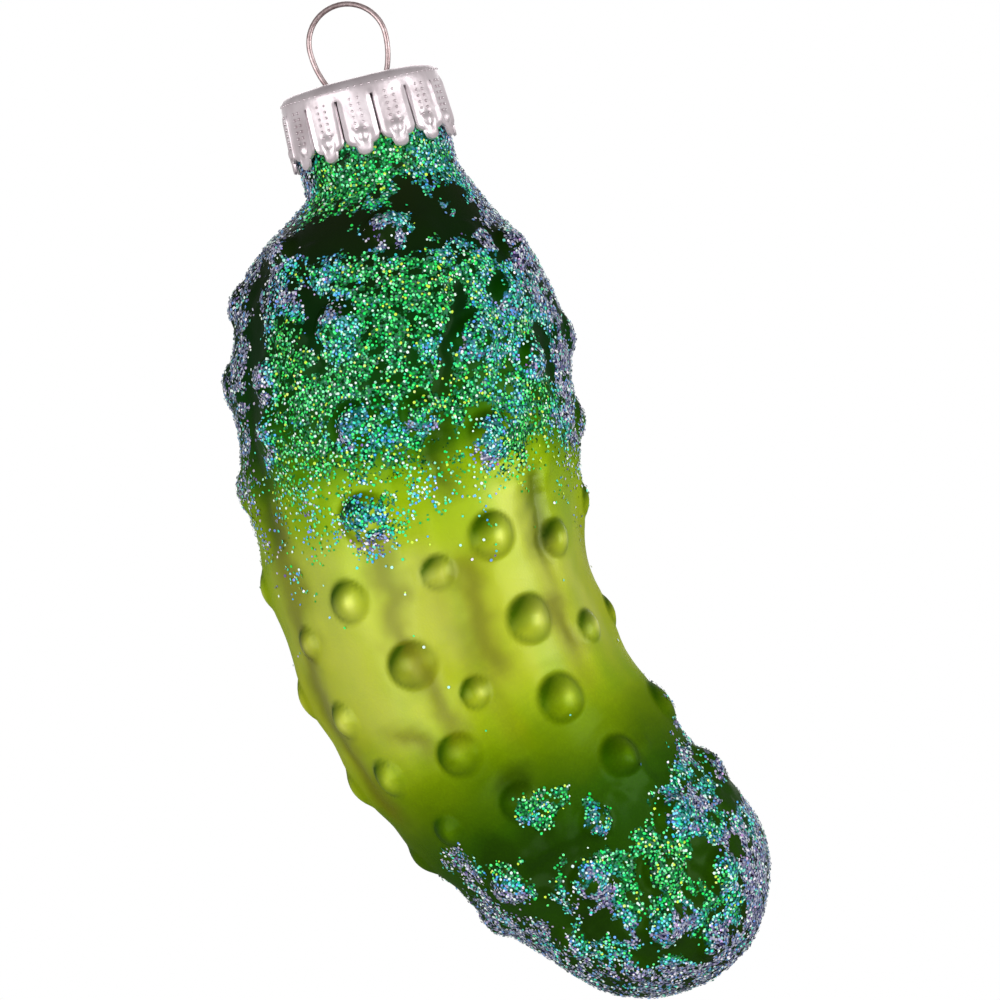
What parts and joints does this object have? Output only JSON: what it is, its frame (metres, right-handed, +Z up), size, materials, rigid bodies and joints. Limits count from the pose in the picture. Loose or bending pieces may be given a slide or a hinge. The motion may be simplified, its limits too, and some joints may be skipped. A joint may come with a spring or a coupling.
{
  "type": "pickle ornament",
  "caption": "Hanging ornament: a hollow, warty glass pickle with a short neck, a crimped metal crown cap over it and a sprung wire loop to hang it by.",
  "frame": {"origin": "top of the inside of the wire loop, where a hook bears", "axes": "+Z up along the neck's axis; the pickle bends in the XZ plane, its tip towards +X; its front faces -Y"},
  "size_m": [0.0429, 0.0346, 0.1043],
  "materials": {
    "spring_wire": "drawn spring steel, dull bright",
    "cap_metal": "bright pressed sheet",
    "lacquered_glass": "opaque satin lacquer over silvered glass, with glitter flakes"
  },
  "bodies": {
    "hanger": {"hanger_wire": "spring_wire"},
    "crown": {"cap": "cap_metal"},
    "pickle": {"glass_pickle": "lacquered_glass"}
  },
  "joints": [
    {"name": "wire_pull", "type": "slide", "parent": "hanger", "child": "crown", "axis": [0, 0, -1], "range_m": [0, 0.028], "deforming": ["hanger_wire"]},
    {"name": "cap_turn", "type": "hinge", "parent": "crown", "child": "pickle", "pos_m": [0, 0, -0.01], "axis": [0, 0, 1], "continuous": true}
  ]
}
